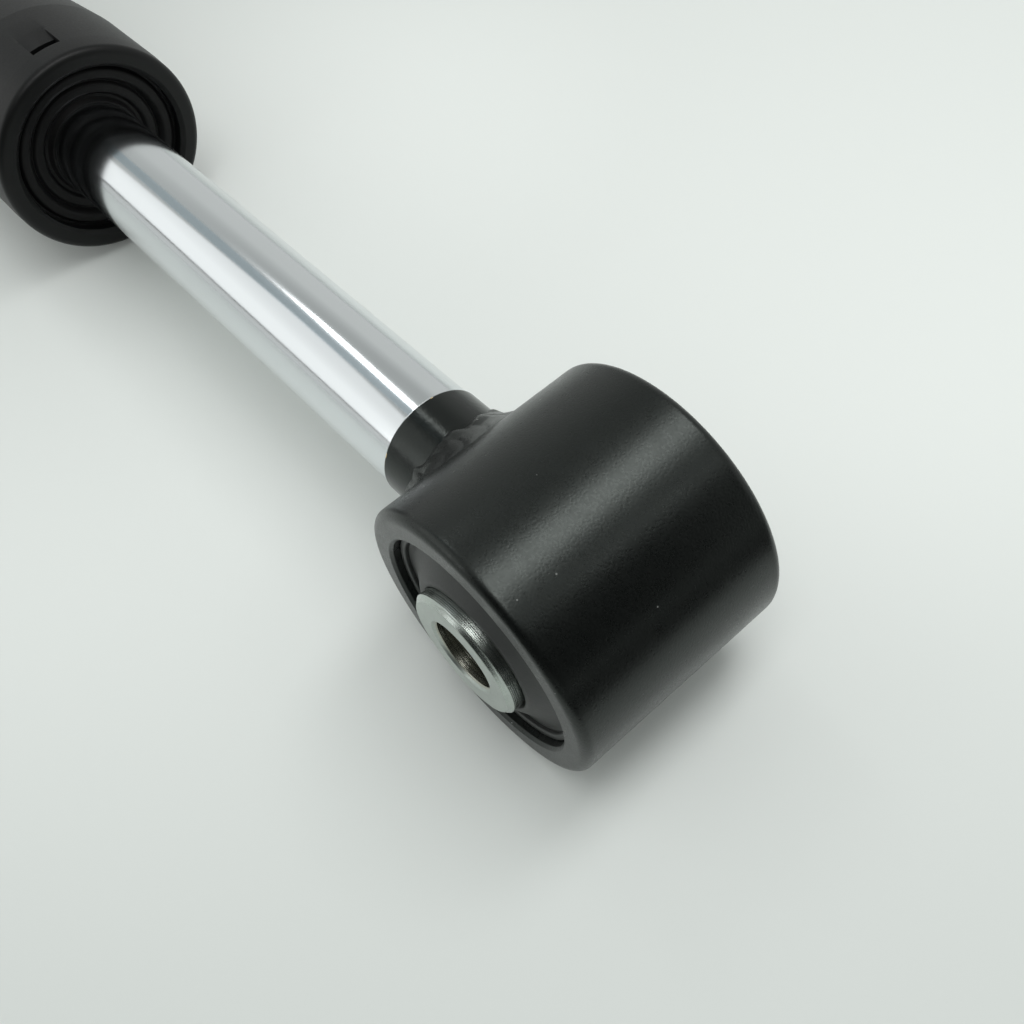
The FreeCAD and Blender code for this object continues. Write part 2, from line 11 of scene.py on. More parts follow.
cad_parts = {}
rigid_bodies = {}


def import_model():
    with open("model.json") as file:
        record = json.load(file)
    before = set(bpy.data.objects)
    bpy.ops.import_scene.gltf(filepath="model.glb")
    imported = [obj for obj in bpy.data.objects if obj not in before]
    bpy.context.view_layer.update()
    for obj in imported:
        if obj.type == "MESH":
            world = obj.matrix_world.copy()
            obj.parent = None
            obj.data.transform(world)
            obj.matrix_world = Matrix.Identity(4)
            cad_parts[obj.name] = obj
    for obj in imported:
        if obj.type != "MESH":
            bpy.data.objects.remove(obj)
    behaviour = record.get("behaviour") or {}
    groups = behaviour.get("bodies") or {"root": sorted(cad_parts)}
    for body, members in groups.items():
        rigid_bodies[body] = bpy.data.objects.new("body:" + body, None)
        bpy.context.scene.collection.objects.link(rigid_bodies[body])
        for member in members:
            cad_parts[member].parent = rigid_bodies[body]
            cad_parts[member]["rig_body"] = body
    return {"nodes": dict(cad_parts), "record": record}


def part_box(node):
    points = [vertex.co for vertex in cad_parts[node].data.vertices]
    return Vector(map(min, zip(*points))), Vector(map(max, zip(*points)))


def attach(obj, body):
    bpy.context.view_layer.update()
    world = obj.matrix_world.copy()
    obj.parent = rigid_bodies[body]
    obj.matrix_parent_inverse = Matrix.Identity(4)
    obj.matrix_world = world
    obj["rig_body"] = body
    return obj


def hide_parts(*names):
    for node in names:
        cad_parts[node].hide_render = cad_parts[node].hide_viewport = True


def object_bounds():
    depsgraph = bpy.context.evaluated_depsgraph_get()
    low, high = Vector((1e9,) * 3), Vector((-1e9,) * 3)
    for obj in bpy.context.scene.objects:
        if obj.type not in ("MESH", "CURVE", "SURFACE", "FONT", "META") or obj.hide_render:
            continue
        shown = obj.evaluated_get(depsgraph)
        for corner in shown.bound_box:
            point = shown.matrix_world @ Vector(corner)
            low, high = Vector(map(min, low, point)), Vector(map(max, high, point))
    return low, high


bl_info = {
    "name": "Gas spring",
    "version": (1, 0, 0),
    "blender": (4, 5, 0),
    "location": "3D View > Sidebar > Gas spring",
    "description": "Dresses a gas spring with bushed eyes in paint, chrome, zinc and rubber",
    "category": "Add Mesh",
}

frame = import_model()
CAD_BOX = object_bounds()
MM = 0.001
MICRON = 1e-6
TURN = 2 * math.pi
ENDS = ("base", "rod")
SLOT_OF = {row["node"]: row["material_slot"] for row in frame["record"]["subparts"]}
BORE_RADIUS = next(
    mount["dims"]["r_mm"] * MM for mount in frame["record"]["mounts"] if mount["name"] == "rod_eye_bore"
)
# Turned meshes: steps of a rounded corner, the share of a side that it may take up, the share of its
# radius out to its support points, the bend in radians that counts as straight, the smallest rounding,
# steps round the axis, and how near points are merged and from which angle an edge is sharp.
ARC_STEPS = 9
ROOM_SHARE = 0.46
SUPPORT_SHARE = 0.2
STRAIGHT = 1e-4
FINE_ROUND = 0.1 * MM
SEGMENTS = 224
MERGE_DISTANCE = 1e-7
SHARP_ANGLE = math.radians(42)
# The bush rubber: how high its middle sags, as a share of its rise and as a rounding, and the gap at its
# lip, as its mean, its swing round the sleeve and the angle of that swing.
SAG_SHARE = 0.34
SAG_ROUND = 9 * MM
GAP_MEAN, GAP_SWING, GAP_ANGLE = 0.55, 0.45, 0.6
# The wiper's ribs: shares of a rib's width down to its shoulder, and in its rounding.
RIB_SHOULDER, RIB_ROUND = 0.22, 0.28
# The cap's tabs: width of a lanced edge, steps of a tab's ramp and width, slack for comparing places, and
# how near the outside a point counts as the skin.
LANCED_EDGE = 0.12 * MM
RAMP_STEPS = 7
TAB_STEPS = 9
SLACK = 1e-9
SKIN = 1 * MICRON
# Weld beads: steps round the neck and across the bead, and the share of the width that is buried.
BEAD_STEPS = 481
BEAD_ROWS = 45
HIDDEN_SHARE = 0.12
# Paint: refractive index, and cells to the metre that may hold a speck of dust.
PAINT_INDEX = 1.45
DUST_CELLS = 300
# The table top: its size, where and how unevenly a painted shade darkens it towards the viewer, where
# a painted pool of light lightens it beside the cap, and where the lamps' reach ends.
FLOOR_SIZE = 8.0
TO_VIEWER = (0.8, -0.6, 0.0)
PAINTED_SHADE_BAND = (0.265, 0.395)
PAINTED_SHADE_CLOUD = 10 * MM
PAINTED_LIGHT_AT = (-0.01, 0.06)
PAINTED_LIGHT_BAND = (0.015, 0.095)
FAR_BAND = (0.30, 0.75)
# The room's walls, by the sine of the height over the horizon.
WALL_FROM, WALL_TO, OVERHEAD_FROM = 0.30, 0.45, 0.65
# Lamps: where a place is measured from, the place, size, power, turn in degrees, whether it faces down.
LAMPS = {
    "overhead_strip": ("eye", (0.036, 0.072, 0.42), (0.145, 0.486), 1.055, 10, True),
    "far_lamp": ("rod", (-0.74, 0.12, 0.95), (0.36, 0.13), 0.60, -28, True),
    "side_lamp": ("eye", (0.58, 0.33, 0.75), (0.35, 0.12), 0.25, 0, False),
    "window": ("rod", (-0.836, -0.642, 0.608), (0.79, 0.89), 1.16, 0, False),
    "bright_window": ("rod", (-0.526, -1.04, 0.45), (0.35, 0.60), 0.67, 0, False),
}
# Cards that only the shiny pieces mirror: the same, without power and turn.
CARDS = {
    "grey_ceiling": ("rod", (-1.05, -0.08, 0.96), (1.0, 0.34), True),
    "dark_sill": ("rod", (-0.80, -0.68, 0.17), (1.1, 0.035), False),
    "dark_side": ("eye", (0.66, -0.12, 0.36), (1.35, 0.75), False),
    "dark_beside": ("eye", (0.15, -0.62, 0.27), (0.80, 0.62), False),
    "dark_near": ("eye", (0.105, -0.36, -0.0235), (0.29, 0.49), True),
    "dark_front": ("eye", (0.275, 0.10, -0.0235), (0.38, 0.45), True),
}
PANELS = {**LAMPS, **CARDS}
MEASURED_FROM = {"eye": "the rod's eye", "rod": "the middle of the bare rod"}


def setting(kind, scale=None, **always):
    """A maker of settings of one kind, with a scale that brings their defaults to Blender's units."""

    def make(name, description, default):
        default = default if scale is None else default * scale
        return kind(name=name, description=description, default=default, **always)

    return make


# Lengths in millimetres, angles in degrees, linear colours, points and panels in metres, power in watts,
# focal lengths in millimetres, and whole numbers.
length = setting(FloatProperty, MM, unit="LENGTH", precision=5)
angle = setting(FloatProperty, math.radians(1), subtype="ANGLE")
colour = setting(FloatVectorProperty, subtype="COLOR", min=0, max=1)
place = setting(FloatVectorProperty, subtype="TRANSLATION", unit="LENGTH")
extent = setting(FloatVectorProperty, size=2, min=0, subtype="XYZ_LENGTH", unit="LENGTH")
power = setting(FloatProperty, min=0, subtype="POWER", unit="POWER")
lens = setting(FloatProperty, min=1, unit="CAMERA")
whole = setting(IntProperty, min=1)


class GASSPRING_PG_eye(bpy.types.PropertyGroup):
    """Sizes of an eye ring and its rubber bush."""

    wall: length("Wall", "Thickness of the eye ring", 5.0)
    edge_round: length("Edge rounding", "Rounding of the ring's outer edge", 1.6)
    mouth_bevel: length("Mouth bevel", "Bevel of the inner edge", 0.5)
    paint_round: length("Paint rounding", "Rounding of the paint over the inner edge", 0.32)
    shell_wall: length("Shell wall", "Thickness of the bush's outer shell", 1.2)
    shell_round: length("Shell rounding", "Rounding of the shell's edges", 0.35)
    dish: length("Dish", "How far the rubber's rim lies below the shell's edge", 0.8)
    moat: length("Moat", "Width of the flat at the rubber's rim", 0.6)
    lip: length("Lip", "Width of the rubber's raised lip", 1.2)
    bond: length("Bond", "Thickness of the bond between the rubber and the sleeve", 0.01)
    lip_gap: length("Lip gap", "Widest gap between the rubber's lip and the sleeve", 0.5)
    lip_gap_depth: length("Lip gap depth", "Depth of that gap", 1.1)
    sleeve_bevel: length("Sleeve bevel", "Bevel of the sleeve's outer edge", 0.8)
    bore_bevel: length("Bore bevel", "Bevel of the bolt bore", 0.6)
    sleeve_round: length("Sleeve rounding", "Rounding of the sleeve's edges", 0.12)


class GASSPRING_PG_weld(bpy.types.PropertyGroup):
    """Sizes of the weld beads."""

    leg: length("Leg", "Reach of the bead over each surface", 4.2)
    throat: length("Throat", "Fullness of the bead at its root", 1.6)
    pitch: length("Pitch", "Step from one ripple to the next", 3.5)
    ripple: length("Ripple", "Height of the ripples", 0.24)
    lap: length("Lap", "Height of the uneven lip along the neck", 0.4)
    sink: length("Sink", "How far the toes lie under the surfaces", 0.15)
    root: length("Root", "Depth of the bead's root", 1.6)
    seam_leg: length("Seam leg", "Half width of the base's seam", 2.0)
    seam_crown: length("Seam crown", "Fullness of the base's seam", 1.4)
    seed: whole("Seed", "Which of the uneven beads is made", 12)


class GASSPRING_PG_rod(bpy.types.PropertyGroup):
    """Sizes of the rod, its collar, the tube and the base plug."""

    stud: length("Eye stud", "Diameter of the stud inside the collar", 14.0)
    piston_stud: length("Piston stud", "Diameter of the stud that carries the piston", 12.0)
    bevel: length("Bevel", "Bevel of the rod's inner end", 0.5)
    collar_round: length("Collar rounding", "Rounding of the collar's front edge", 0.4)
    tube_wall: length("Tube wall", "Thickness of the pressure tube", 2.5)
    tube_lip: length("Tube lip", "Width of the tube's rolled end", 2.0)
    lip_round: length("Lip rounding", "Rounding of the tube's rolled end", 2.4)
    bead_width: length("Bead width", "Width of the groove rolled into the tube", 3.6)
    bead_depth: length("Bead depth", "Depth of the groove rolled into the tube", 1.4)
    neck: length("Neck", "Diameter of the base's neck", 26.0)
    neck_length: length("Neck length", "From the base eye to the plug's flange", 10.0)
    spigot: length("Spigot", "Length of the plug inside the tube", 12.0)


class GASSPRING_PG_cap(bpy.types.PropertyGroup):
    """Sizes of the end cap and its wiper."""

    draft: length("Draft", "How much narrower the front is than the skirt", 0.2)
    skirt: length("Skirt", "Length of the full-width skirt", 23.5)
    tail_wall: length("Tail wall", "Wall at the tail's end", 0.8)
    edge_round: length("Edge rounding", "Rounding of the front edge", 1.6)
    mouth_bevel: length("Mouth bevel", "Bevel of the mouth", 0.9)
    mouth_lip: length("Mouth lip", "How far the mouth covers the wiper's flange", 1.0)
    tabs: whole("Tabs", "Number of lanced tabs", 3)
    tab_setback: length("Tab setback", "From the front to a tab's slot", 5.8)
    tab_width: length("Tab width", "Width of a tab", 6.0)
    tab_slot: length("Tab slot", "Length of the slot in front of a tab", 3.0)
    tab_ramp: length("Tab ramp", "Length over which a tab rises to the skirt", 5.5)
    tab_depth: length("Tab depth", "Depth of the slot", 2.0)
    tab_drop: length("Tab drop", "How far a tab's tip lies below the skirt", 0.8)
    rib_height: length("Rib height", "Height of the wiper's ribs", 0.92)
    rib_gap: length("Rib gap", "Gap between the wiper's ribs", 0.4)
    rib_land: length("Rib land", "Flat between the ribs and the lip", 0.66)
    rib_step: length("Rib step", "How far the inner rib lies deeper", 0.8)
    wiper_flange: length("Wiper flange", "Thickness of the wiper's flange", 2.0)
    wiper_gap: length("Wiper gap", "Gap round the wiper in the mouth", 0.3)
    lip_width: length("Lip width", "Width of the lip on the rod", 0.9)
    lip_reach: length("Lip reach", "Length of the lip on the rod", 2.4)


class GASSPRING_PG_finish(bpy.types.PropertyGroup):
    """Colours of the finishes."""

    paint: colour("Paint", "Satin black paint", (0.0024, 0.0028, 0.0027))
    sheen: colour("Sheen", "Tint of the paint's reflections", (0.91, 1.0, 0.945))
    dust: colour("Dust", "Specks of dust on the paint", (0.15, 0.155, 0.15))
    primer: colour("Primer", "What shows where the paint is chipped", (0.62, 0.47, 0.24))
    chrome: colour("Chrome", "Polished hard chrome", (0.72, 0.75, 0.765))
    zinc: colour("Zinc", "Bright zinc plate", (0.51, 0.555, 0.52))
    # Partly painted shade: the bore's tone is darker than the bare steel alone would be.
    bore: colour("Bore", "Bare drilled steel in the bolt bore", (0.40, 0.40, 0.345))
    shell: colour("Shell", "Dark phosphated steel", (0.055, 0.058, 0.056))
    rubber: colour("Bush rubber", "Matte moulded rubber", (0.028, 0.030, 0.029))
    cap: colour("Cap", "Satin moulded black", (0.0018, 0.0021, 0.0021))
    seal: colour("Seal rubber", "Black seal rubber", (0.0030, 0.0030, 0.0032))
    steel: colour("Steel", "Machined steel", (0.52, 0.52, 0.51))
    alloy: colour("Alloy", "Machined alloy", (0.74, 0.75, 0.76))
    bronze: colour("Bronze", "Bearing bronze", (0.50, 0.32, 0.16))
    ring: colour("Ring", "Filled slide-ring plastic", (0.20, 0.12, 0.07))


class GASSPRING_PG_stage(bpy.types.PropertyGroup):
    """Camera, floor and room; add_panels adds the lamps and cards."""

    camera_place: place("Camera", "Where the camera stands", (0.45286, -0.05534, 0.14623))
    camera_aim: place("Aim", "The point in the middle of the view", (0.36597, -0.00010, 0.0))
    camera_roll: angle("Roll", "Turn of the camera about its view", -10.72)
    camera_lens: lens("Lens", "Focal length on a 36 mm sensor", 39.63)
    floor: colour("Floor", "Pale table top", (0.797, 0.831, 0.807))
    # Painted shade: a darker table top towards the viewer.
    floor_near: colour("Floor near", "The dimmer table top towards the viewer", (0.630, 0.663, 0.642))
    # Painted light: a lighter table top beside the cap, where the lamps cast a soft shadow.
    floor_beside: colour("Floor beside", "The table top beside the cap", (0.870, 0.905, 0.880))
    floor_far: colour("Floor far", "The table top out of the lamps' reach", (0.90, 0.93, 0.91))
    wall_foot: colour("Wall foot", "Foot of the pale walls round the table", (0.645, 0.66, 0.65))
    wall: colour("Wall", "Middle of the pale walls", (0.645, 0.66, 0.645))
    overhead: colour("Overhead", "The room above the table", (0.45, 0.465, 0.455))
    backdrop: colour("Backdrop", "What the camera sees past the floor", (0.72, 0.75, 0.74))
    ceiling: colour("Ceiling", "Grey ceiling card", (0.78, 0.85, 0.92))
    dark: colour("Dark", "Dark cards", (0.022, 0.022, 0.022))


def add_panels(settings):
    """Add each panel's place and size, and each lamp's power and turn, to the stage's settings."""
    for name, (origin, where, size, *light, _) in PANELS.items():
        words = name.replace("_", " ")
        label = words.capitalize()
        settings[f"{name}_place"] = place(f"{label} place", f"{label}, from {MEASURED_FROM[origin]}", where)
        settings[f"{name}_size"] = extent(f"{label} size", f"Width and length of the {words}", size)
        if light:
            watts, turn = light
            settings[f"{name}_power"] = power(f"{label} power", f"Power of the {words}", watts)
            settings[f"{name}_turn"] = angle(f"{label} turn", f"Turn of the {words} in its plane", turn)


add_panels(GASSPRING_PG_stage.__annotations__)


class GASSPRING_PG_settings(bpy.types.PropertyGroup):
    """All the settings of the gas spring."""

    eye: PointerProperty(type=GASSPRING_PG_eye)
    weld: PointerProperty(type=GASSPRING_PG_weld)
    rod: PointerProperty(type=GASSPRING_PG_rod)
    cap: PointerProperty(type=GASSPRING_PG_cap)
    finish: PointerProperty(type=GASSPRING_PG_finish)
    stage: PointerProperty(type=GASSPRING_PG_stage)


def signs(operation):
    """Methods for an arithmetic sign with a wire on its left, and with one on its right."""
    return (lambda wire, other: wire.math(operation, wire, other),
            lambda wire, other: wire.math(operation, other, wire))


class Wire:
    """A socket of a node graph; arithmetic on it adds Math nodes."""

    __add__, __radd__ = signs("ADD")
    __sub__, __rsub__ = signs("SUBTRACT")
    __mul__, __rmul__ = signs("MULTIPLY")
    __truediv__ = signs("DIVIDE")[0]
    __pow__ = signs("POWER")[0]
    __gt__ = signs("GREATER_THAN")[0]

    def __init__(self, graph, socket):
        self.graph = graph
        self.socket = socket

    def math(self, operation, *values):
        return self.graph.node("ShaderNodeMath", {"operation": operation}, dict(enumerate(values)))

    def other_output(self, name):
        """Another output of the node that this one belongs to."""
        return Wire(self.graph, self.socket.node.outputs[name])


class Graph:
    """A node tree that is written as expressions."""

    def __init__(self, tree):
        self.tree = tree

    def node(self, kind, settings=None, sockets=None, output=0):
        """Add a node, set it up, fill or link its sockets and give back one of its outputs."""
        node = self.tree.nodes.new(kind)
        for name, value in (settings or {}).items():
            setattr(node, name, value)
        self.fill(node, sockets or {})
        return Wire(self, node.outputs[output])

    def fill(self, node, sockets):
        """Set a node's sockets, or link wires to them."""
        for key, value in sockets.items():
            if isinstance(value, Wire):
                self.tree.links.new(value.socket, node.inputs[key])
            else:
                node.inputs[key].default_value = value

    def parts(self, vector):
        """The three parts of a vector."""
        first = self.node("ShaderNodeSeparateXYZ", sockets={"Vector": vector})
        return [first.other_output(axis) for axis in "XYZ"]

    def joined(self, *parts):
        """A vector of three parts."""
        return self.node("ShaderNodeCombineXYZ", sockets=dict(enumerate(parts)))

    def vector(self, operation, *values, output=0):
        """A Vector Math node."""
        return self.node("ShaderNodeVectorMath", {"operation": operation}, dict(enumerate(values)), output)

    def blend(self, factor, first, second):
        """One colour over another; each is a wire or a tone of three parts."""
        first, second = (tone if isinstance(tone, Wire) else rgba(tone) for tone in (first, second))
        return self.node("ShaderNodeMix", {"data_type": "RGBA"}, {0: factor, 6: first, 7: second}, output=2)


def rgba(tone):
    return (*tone, 1)


class Finish(Graph):
    """A material with one main shader and the nodes that feed it."""

    def __init__(self, name, **constants):
        self.material = bpy.data.materials.new(name)
        self.material.use_nodes = True
        super().__init__(self.material.node_tree)
        self.shader = self.tree.nodes["Principled BSDF"]
        self.feed(**constants)
        self.place = self.node("ShaderNodeTexCoord", output="Object")

    def feed(self, **sockets):
        """Set sockets of the main shader, or link wires to them."""
        self.fill(self.shader, {name.replace("_", " "): value for name, value in sockets.items()})

    def noise(self, scale, detail, roughness=0.5, vector=None):
        """Noise with a number of grains to the metre, or along a vector of its own."""
        return self.node("ShaderNodeTexNoise", sockets={
            "Vector": vector or self.place, "Scale": scale, "Detail": detail, "Roughness": roughness})

    def marks(self, along, radius, detail, roughness=0.5):
        """Turning marks, from a place along the turning axis and a distance from it."""
        return self.noise(1, detail, roughness, self.joined(along, radius, 0))

    def shades(self, factor, tone, low, high):
        """A tone that varies between two multiples of itself."""
        return self.blend(factor, [part * low for part in tone], [part * high for part in tone])

    def dressed(self, tone, roughness, height, microns):
        """The material with its colour, its roughness and a bump that is some microns deep."""
        normal = self.node("ShaderNodeBump", sockets={
            "Strength": 1.0, "Distance": microns * MICRON, "Height": height})
        self.feed(Base_Color=tone, Roughness=roughness, Normal=normal)
        return self.material

    def band(self, wire, low, high):
        """0 below low, 1 above high, smooth between."""
        return self.node("ShaderNodeMapRange", {"interpolation_type": "SMOOTHSTEP"}, {
            "Value": wire, "From Min": low, "From Max": high})

    def turned_place(self, axis, centre):
        """Place along a turning axis and distance from it."""
        shifted = self.vector("SUBTRACT", self.place, centre)
        x, y, z = self.parts(shifted)
        if axis == "X":
            return x, self.vector("LENGTH", self.joined(0, y, z), output="Value")
        return y, self.vector("LENGTH", self.joined(x, 0, z), output="Value")


def paint_finish(colours):
    """Satin black paint: fine orange peel, mottled gloss, a little dust."""
    finish = Finish("satin_black_paint", IOR=PAINT_INDEX, Specular_Tint=rgba(colours.sheen))
    peel = finish.noise(2700, detail=0.5)
    mottle = finish.noise(420, detail=2)
    handling = finish.noise(45, detail=3)
    from_middle = finish.node("ShaderNodeTexVoronoi", sockets={
        "Vector": finish.place, "Scale": DUST_CELLS}, output="Distance")
    middle = from_middle.other_output("Position")
    chance = finish.node("ShaderNodeTexWhiteNoise", sockets={"Vector": middle})
    dust = (1 - finish.band(from_middle, 0.03, 0.05)) * (chance > 0.6)
    worn = finish.shades(handling * 0.5, colours.paint, 1, 1.7)
    roughness = 0.15 + peel * 0.14 + mottle * 0.08 + handling * 0.08
    return finish.dressed(finish.blend(dust, worn, colours.dust), roughness, peel + mottle * 0.6, 15)


def collar_finish(colours, edge):
    """The same paint, chipped to a golden primer along the collar's front edge."""
    finish = Finish("chipped_black_paint", IOR=PAINT_INDEX, Specular_Tint=rgba(colours.sheen))
    along = finish.parts(finish.place)[0]
    peel = finish.noise(2400, detail=1)
    mottle = finish.noise(620, detail=2)
    chips = finish.noise(700, detail=3)
    knocks = finish.band(finish.noise(130, detail=1), 0.50, 0.60)
    near_edge = 1 - finish.band(along, edge + 0.25 * MM, edge + 0.80 * MM)
    bare = finish.band(chips * near_edge * knocks, 0.46, 0.50)
    tone = finish.blend(bare, colours.paint, colours.primer)
    finish.feed(Metallic=bare * 0.3)
    return finish.dressed(tone, 0.11 + mottle * 0.16, peel * 0.6 + mottle - bare, 20)


def chrome_finish(colours):
    """Polished chrome with a faint ground lay and a thin film of oil."""
    finish = Finish("polished_chrome", Metallic=1.0)
    along, radius = finish.turned_place("X", (0, 0, 0))
    lay = finish.marks(along * 9000, radius, detail=2)
    film = finish.noise(70, detail=3)
    tone = finish.shades(film * 0.35, colours.chrome, 1, 0.93)
    finish.feed(Base_Color=tone, Roughness=0.085 + film * 0.06 + lay * 0.03)
    return finish.material


def zinc_finish(colours, centre, outer):
    """Zinc plate over turning marks, coarse round the outside and in the bore, fine on the faces, with
    painted shade in the grooves and a darker bore that is partly painted shade.
    """
    finish = Finish("bright_zinc_plate", Metallic=1.0)
    along, radius = finish.turned_place("Y", centre)
    grooves = finish.marks(along * 2300, radius * 300, detail=4, roughness=0.75)
    rings = finish.marks(along * 300, radius * 3000, detail=3, roughness=0.7)
    cloud = finish.noise(420, detail=4)
    grit = finish.noise(2400, detail=3, roughness=0.7)
    side = finish.band(radius, outer - 0.30 * MM, outer - 0.05 * MM)
    bevel = finish.band(radius, outer - 0.85 * MM, outer - 0.70 * MM)
    inside = 1 - finish.band(radius, BORE_RADIUS + 0.05 * MM, BORE_RADIUS + 0.35 * MM)
    plate = finish.shades(cloud * 0.5 + grit * 0.5, colours.zinc, 0.62, 1.18)
    # The bore's own tone: bare steel, darkened in part as painted shade in the hole.
    metal = finish.blend(inside, plate, colours.bore)
    # Painted shade: the turning grooves round the outside and in the bore are painted darker.
    groove_shade = (side * 0.4 + inside * 0.8) * (1 - finish.band(grooves, 0.38, 0.56))
    tone = finish.blend(groove_shade, metal, [part * 0.3 for part in colours.zinc])
    roughness = 0.24 + cloud * 0.14 + rings * 0.08 - (bevel + inside) * 0.11
    return finish.dressed(tone, roughness, grooves * (side + inside) + rings * 0.55, 80)


def rubber_finish(name, tone, matte, index):
    """Moulded rubber: matte, with fine grain and a faint bloom."""
    finish = Finish(name, IOR=index)
    grain = finish.noise(2600, detail=3)
    bloom = finish.noise(160, detail=4)
    roughness = matte + grain * 0.12 + bloom * 0.08
    return finish.dressed(finish.shades(bloom, tone, 0.5, 1.6), roughness, grain, 18)


def shell_finish(colours):
    """Dark phosphated steel with a dry grain."""
    finish = Finish("phosphated_steel", Metallic=0.7)
    grain = finish.noise(1800, detail=3)
    return finish.dressed(finish.shades(grain, colours.shell, 0.8, 1.5), 0.36 + grain * 0.16, grain, 12)


def cap_finish(colours):
    """Satin moulded black with a fine spark-eroded grain."""
    finish = Finish("satin_moulded_black", IOR=1.34)
    grain = finish.noise(2300, detail=2)
    flow = finish.noise(60, detail=3)
    roughness = 0.34 + grain * 0.12 + flow * 0.08
    return finish.dressed(finish.shades(flow, colours.cap, 1, 1.5), roughness, grain, 15)


def machined_finish(name, tone, metallic, matte):
    """A turned inner piece, with its turning marks about the rod's axis."""
    finish = Finish(name, Metallic=metallic)
    along, radius = finish.turned_place("X", (0, 0, 0))
    marks = finish.marks(along * 3000, radius * 3000, detail=3)
    cloud = finish.noise(200, detail=3)
    return finish.dressed(finish.shades(cloud, tone, 0.85, 1), matte + marks * 0.14, marks, 15)


def card_finish(name, tone):
    """Matte card with a dull fibre."""
    finish = Finish(name, Roughness=0.9)
    fibre = finish.noise(5, detail=2)
    finish.feed(Base_Color=finish.shades(fibre, tone, 0.7, 1))
    return finish.material


def rounded(corners, closed):
    """Points of an outline of (along, radius, rounding), with an arc at each rounded corner."""
    points = []
    count = len(corners)
    for number, (along, radius, rounding) in enumerate(corners):
        corner = Vector((along, radius))
        at_end = not closed and number in (0, count - 1)
        if rounding == 0 or at_end:
            points.append(corner)
            continue
        before = Vector(corners[number - 1][:2]) - corner
        after = Vector(corners[(number + 1) % count][:2]) - corner
        points.extend(arc_at(corner, before, after, rounding))
    return np.array([tuple(point) for point in points])


def arc_at(corner, before, after, rounding):
    """An arc that rounds one corner, with a support point on each side of it."""
    way_in, way_out = -before.normalized(), after.normalized()
    bend = way_in.angle_signed(way_out)
    if abs(bend) < STRAIGHT:
        return [corner]
    room = ROOM_SHARE * min(before.length, after.length)
    reach = min(rounding * math.tan(abs(bend) / 2), room)
    radius = reach / math.tan(abs(bend) / 2)
    side = -1 if bend > 0 else 1
    start = corner - way_in * reach
    centre = start + Vector((-way_in.y, way_in.x)) * side * radius
    spoke = start - centre
    support = min(SUPPORT_SHARE * radius, room / 2)
    points = [start - way_in * support]
    for step in range(ARC_STEPS + 1):
        turn = Matrix.Rotation(side * abs(bend) * step / ARC_STEPS, 2)
        points.append(centre + turn @ spoke)
    points.append(points[-1] + way_out * support)
    return points


def turned_mesh(name, corners, axis="X", centre_x=0.0, closed=True, shape=None, angles=None):
    """A mesh turned about the rod's axis or an eye's bore.

    A corner is (place along the axis, radius, rounding). The shape function, where there is one,
    takes and gives back the places and radii for all the angles.
    """
    outline = rounded(corners, closed)
    if angles is None:
        angles = np.arange(SEGMENTS) * TURN / SEGMENTS
    turn, along = np.meshgrid(angles, outline[:, 0], indexing="ij")
    radius = np.broadcast_to(outline[:, 1], turn.shape)
    if shape is not None:
        along, radius = shape(along, radius, turn)
    side, up = radius * np.cos(turn), radius * np.sin(turn)
    if axis == "X":
        places = np.stack((along, side, up), axis=-1)
    else:
        places = np.stack((centre_x + side, along, up), axis=-1)
    rings, points = turn.shape
    last = points if closed else points - 1
    faces = [
        (ring * points + point, ring * points + (point + 1) % points,
         (ring + 1) % rings * points + (point + 1) % points, (ring + 1) % rings * points + point)
        for ring in range(rings) for point in range(last)
    ]
    mesh = bpy.data.meshes.new(name)
    mesh.from_pydata(places.reshape(-1, 3), [], faces)
    seal(mesh)
    return mesh


def seal(mesh):
    """Merge doubled points, turn all faces outwards and shade them smooth up to sharp edges."""
    work = bmesh.new()
    work.from_mesh(mesh)
    bmesh.ops.remove_doubles(work, verts=work.verts, dist=MERGE_DISTANCE)
    bmesh.ops.dissolve_degenerate(work, edges=work.edges, dist=MERGE_DISTANCE)
    bmesh.ops.recalc_face_normals(work, faces=work.faces)
    work.to_mesh(mesh)
    work.free()
    mesh.polygons.foreach_set("use_smooth", [True] * len(mesh.polygons))
    mesh.set_sharp_from_angle(angle=SHARP_ANGLE)
    mesh.update()


def place_piece(name, mesh, material, node):
    """Put a finished mesh into the scene in place of its CAD node."""
    piece = bpy.data.objects.new(name, mesh)
    bpy.context.scene.collection.objects.link(piece)
    mesh.materials.clear()
    mesh.materials.append(material)
    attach(piece, frame["nodes"][node]["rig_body"])
    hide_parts(node)


def turn_piece(name, node, material, corners, **options):
    """Turn a piece and put it in place of its CAD node."""
    place_piece(name, turned_mesh(name, corners, **options), material, node)


def turn_in_eye(end, kind, material, corners, shape=None):
    """Turn a ring, shell, rubber or sleeve about an eye's bore, the same at both its ends."""
    both = [*corners, *((-along, radius, rounding) for along, radius, rounding in reversed(corners))]
    node = f"{end}_eye_{kind}" if kind == "ring" else f"{end}_bush_{kind}"
    turn_piece(f"{end}_end_{kind}", node, material, both, axis="Y", centre_x=eye_centre_x(end), shape=shape)


def finish_named(name, maker, *values):
    """A material that is made once and shared."""
    return bpy.data.materials.get(name) or maker(*values)


def rubber_named(name, *values):
    """A rubber that is made once and shared."""
    return finish_named(name, rubber_finish, name, *values)


def seal_rubber(colours):
    return rubber_named("seal_rubber_moulded", colours.seal, 0.42, 1.3)


def shared_paint(colours):
    return finish_named("satin_black_paint", paint_finish, colours)


def eye_centre_x(end):
    low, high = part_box(f"{end}_eye_ring")
    return (low.x + high.x) / 2


def saddle_at(eye_x, side, eye_radius):
    """A shape function that ends a neck on the round outside of an eye."""

    def shape(along, radius, turn):
        up = radius * np.sin(turn)
        limit = eye_x + side * np.sqrt(eye_radius ** 2 - np.minimum(np.abs(up), eye_radius) ** 2)
        beyond = along > limit if side < 0 else along < limit
        return np.where(beyond, limit, along), radius

    return shape


